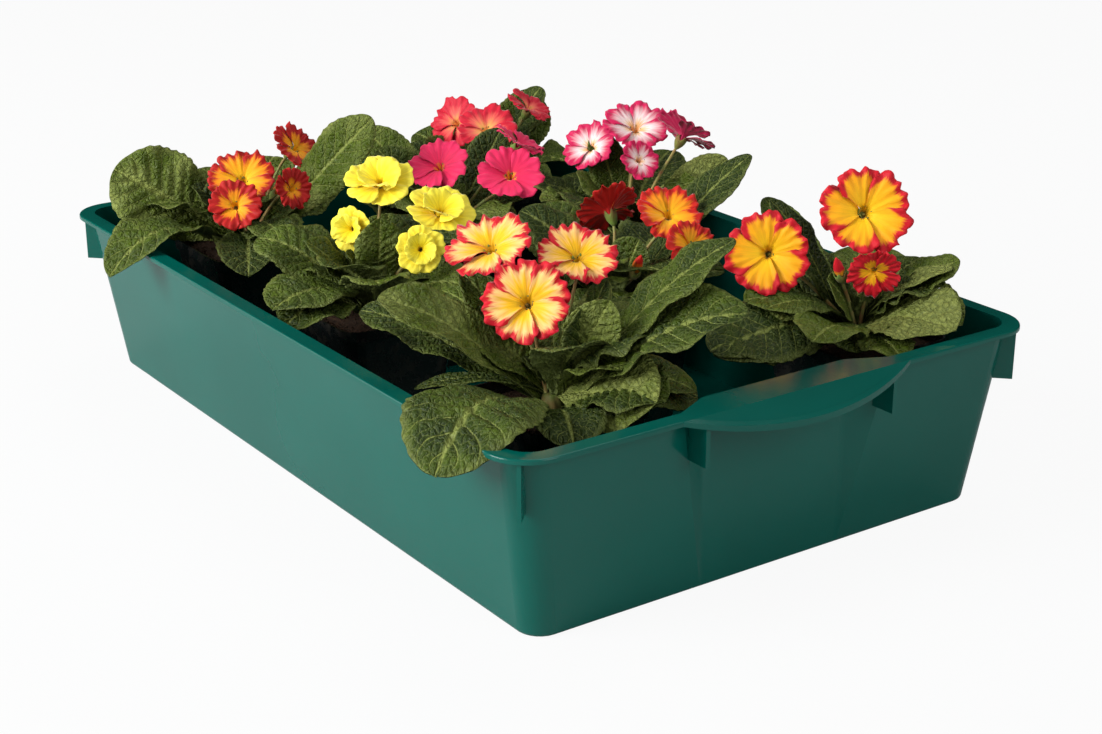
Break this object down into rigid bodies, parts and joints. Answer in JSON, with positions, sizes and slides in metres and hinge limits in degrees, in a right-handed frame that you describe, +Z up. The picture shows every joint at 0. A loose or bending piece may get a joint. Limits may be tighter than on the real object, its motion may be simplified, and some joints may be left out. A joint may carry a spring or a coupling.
{
  "type": "planted potting soil tray",
  "caption": "Rectangular plastic planting tray with moulded hand holds at both ends, holding potted primroses in potting soil that lift out.",
  "frame": {"origin": "middle of the tray's flat underside, where it stands", "axes": "+X along the tray towards one hand hold, +Y across the tray, +Z up"},
  "size_m": [0.638, 0.4297, 0.2083],
  "materials": {
    "tray_plastic": "injection-moulded, glossy deep teal green",
    "pot_plastic": "thin thermoformed, half-gloss black",
    "potting_soil": "moist and crumbly dark brown",
    "crown": "pale green and fleshy",
    "leaf": "wrinkled, half-matt mid green with paler veins",
    "stalk": "fine-haired brownish green",
    "petal_orange_red": "velvety orange yellow with red frills",
    "petal_lemon": "velvety lemon yellow",
    "petal_pink": "velvety magenta pink with a yellow eye",
    "petal_white": "velvety white with pink edges and an orange eye",
    "petal_orange": "velvety orange yellow with red edges",
    "petal_cream_red": "velvety cream with red frills and a yellow eye",
    "petal_golden": "velvety golden yellow with red edges",
    "petal_crimson": "velvety crimson with a yellow eye"
  },
  "bodies": {
    "tray": {"planting_tray": "tray_plastic"},
    "plant_1": {"pot_1": "pot_plastic", "potting_soil_1": "potting_soil", "crown_1": "crown", "leaves_1": "leaf", "flower_stalks_1": "stalk", "blooms_1": "petal_orange_red", "overhanging_leaf_1": "leaf", "flower_buds_1": "petal_orange_red"},
    "plant_2": {"pot_2": "pot_plastic", "potting_soil_2": "potting_soil", "crown_2": "crown", "leaves_2": "leaf", "flower_stalks_2": "stalk", "blooms_2": "petal_lemon"},
    "plant_3": {"pot_3": "pot_plastic", "potting_soil_3": "potting_soil", "crown_3": "crown", "leaves_3": "leaf", "flower_stalks_3": "stalk", "blooms_3": "petal_pink"},
    "plant_4": {"pot_4": "pot_plastic", "potting_soil_4": "potting_soil", "crown_4": "crown", "leaves_4": "leaf", "flower_stalks_4": "stalk", "blooms_4": "petal_white"},
    "plant_5": {"pot_5": "pot_plastic", "potting_soil_5": "potting_soil", "crown_5": "crown", "leaves_5": "leaf", "flower_stalks_5": "stalk", "blooms_5": "petal_orange", "flower_buds_5": "petal_orange"},
    "plant_6": {"pot_6": "pot_plastic", "potting_soil_6": "potting_soil", "crown_6": "crown", "leaves_6": "leaf", "flower_stalks_6": "stalk", "blooms_6": "petal_cream_red", "overhanging_leaf_6": "leaf"},
    "plant_7": {"pot_7": "pot_plastic", "potting_soil_7": "potting_soil", "crown_7": "crown", "leaves_7": "leaf", "flower_stalks_7": "stalk", "blooms_7": "petal_golden", "flower_buds_7": "petal_golden"},
    "plant_8": {"pot_8": "pot_plastic", "potting_soil_8": "potting_soil", "crown_8": "crown", "leaves_8": "leaf", "flower_stalks_8": "stalk", "blooms_8": "petal_crimson"}
  },
  "joints": [
    {"name": "lift_out_1", "type": "slide", "parent": "tray", "child": "plant_1", "axis": [0, 0, 1], "range_m": [0, 0.23]},
    {"name": "lift_out_2", "type": "slide", "parent": "tray", "child": "plant_2", "axis": [0, 0, 1], "range_m": [0, 0.23]},
    {"name": "lift_out_3", "type": "slide", "parent": "tray", "child": "plant_3", "axis": [0, 0, 1], "range_m": [0, 0.23]},
    {"name": "lift_out_4", "type": "slide", "parent": "tray", "child": "plant_4", "axis": [0, 0, 1], "range_m": [0, 0.23]},
    {"name": "lift_out_5", "type": "slide", "parent": "tray", "child": "plant_5", "axis": [0, 0, 1], "range_m": [0, 0.23]},
    {"name": "lift_out_6", "type": "slide", "parent": "tray", "child": "plant_6", "axis": [0, 0, 1], "range_m": [0, 0.23]},
    {"name": "lift_out_7", "type": "slide", "parent": "tray", "child": "plant_7", "axis": [0, 0, 1], "range_m": [0, 0.23]},
    {"name": "lift_out_8", "type": "slide", "parent": "tray", "child": "plant_8", "axis": [0, 0, 1], "range_m": [0, 0.23]}
  ]
}
